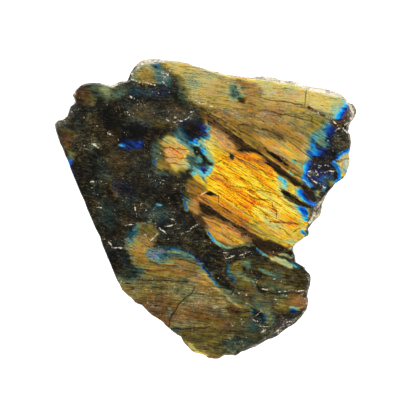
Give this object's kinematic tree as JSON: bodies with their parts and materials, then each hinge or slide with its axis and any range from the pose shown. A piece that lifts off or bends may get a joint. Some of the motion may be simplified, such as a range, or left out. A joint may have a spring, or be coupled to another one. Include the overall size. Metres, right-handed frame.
{
  "type": "semi-polished labradorite slab",
  "caption": "Slab of labradorite with a polished face showing gold, green and blue flashes, a sawn flat back and a natural broken edge all round.",
  "frame": {"origin": "on the sawn back, under the middle of the slab's box", "axes": "+Z out of the polished face; +Y towards the long upper edge; +X towards the knobbed corner's side"},
  "size_m": [0.1524, 0.1516, 0.02],
  "materials": {
    "labradorite": "polished face over a dark grey-green stone with gold, green and blue flashes; matt broken edge; sawn back"
  },
  "bodies": {
    "root": {"slab": "labradorite"}
  },
  "joints": []
}
